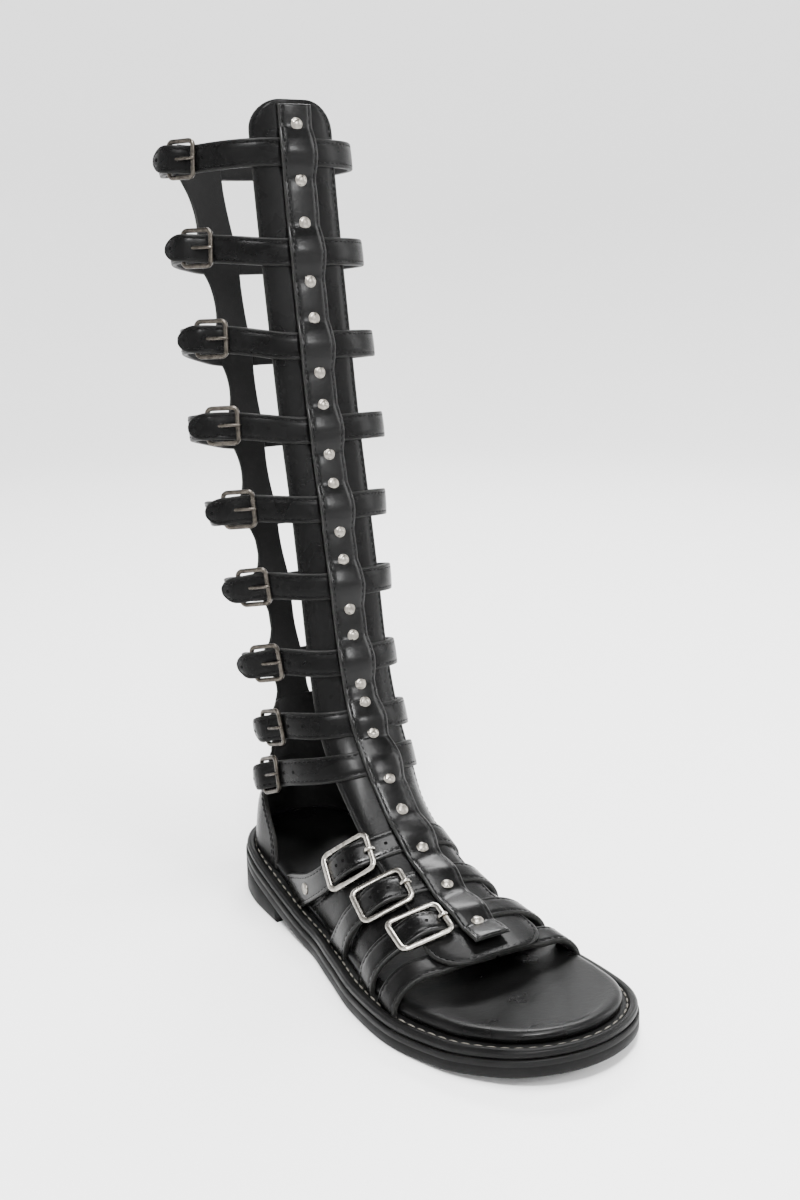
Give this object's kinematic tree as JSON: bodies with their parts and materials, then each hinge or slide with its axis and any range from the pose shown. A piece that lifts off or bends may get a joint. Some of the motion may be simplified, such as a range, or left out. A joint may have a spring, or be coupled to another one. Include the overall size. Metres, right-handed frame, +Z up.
{
  "type": "gladiator sandal",
  "caption": "Knee-high black leather gladiator sandal on a flat sole with a low heel, open at the toes, with a buckled strap ladder, a riveted front strip, a back band and a heel counter.",
  "frame": {"origin": "on the floor under the heel tread, 6 mm ahead of the heel end", "axes": "+Z up the shaft, -Y towards the toe, +X towards the inner (medial) side of the foot"},
  "size_m": [0.1061, 0.332, 0.3922],
  "materials": {
    "black_rubber": "matte black with a stitched welt",
    "lining_leather": "smooth padded black leather",
    "black_leather": "semi-gloss black with stitched edges",
    "dark_pewter": "worn dark pewter",
    "bright_nickel": "polished nickel"
  },
  "bodies": {
    "root": {"outsole": "black_rubber", "midsole_welt": "black_rubber", "insole": "lining_leather", "upper": "black_leather", "front_strip": "black_leather", "shaft_buckle_1_frame": "dark_pewter", "shaft_buckle_1_prong": "dark_pewter", "shaft_buckle_2_frame": "dark_pewter", "shaft_buckle_2_prong": "dark_pewter", "shaft_buckle_3_frame": "dark_pewter", "shaft_buckle_3_prong": "dark_pewter", "shaft_buckle_4_frame": "dark_pewter", "shaft_buckle_4_prong": "dark_pewter", "shaft_buckle_5_frame": "dark_pewter", "shaft_buckle_5_prong": "dark_pewter", "shaft_buckle_6_frame": "dark_pewter", "shaft_buckle_6_prong": "dark_pewter", "shaft_buckle_7_frame": "dark_pewter", "shaft_buckle_7_prong": "dark_pewter", "shaft_buckle_8_frame": "dark_pewter", "shaft_buckle_8_prong": "dark_pewter", "shaft_buckle_9_frame": "dark_pewter", "shaft_buckle_9_prong": "dark_pewter", "foot_buckle_a_frame": "bright_nickel", "foot_buckle_a_prong": "bright_nickel", "foot_buckle_b_frame": "bright_nickel", "foot_buckle_b_prong": "bright_nickel", "foot_buckle_c_frame": "bright_nickel", "foot_buckle_c_prong": "bright_nickel", "rivet_1": "bright_nickel", "rivet_2": "bright_nickel", "rivet_3": "bright_nickel", "rivet_4": "bright_nickel", "rivet_5": "bright_nickel", "rivet_6": "bright_nickel", "rivet_7": "bright_nickel", "rivet_8": "bright_nickel", "rivet_9": "bright_nickel", "rivet_10": "bright_nickel", "rivet_11": "bright_nickel", "rivet_12": "bright_nickel", "rivet_13": "bright_nickel", "rivet_14": "bright_nickel", "rivet_15": "bright_nickel", "rivet_16": "bright_nickel", "rivet_17": "bright_nickel", "rivet_18": "bright_nickel", "rivet_19": "bright_nickel", "rivet_20": "bright_nickel", "rivet_21": "bright_nickel"}
  },
  "joints": []
}
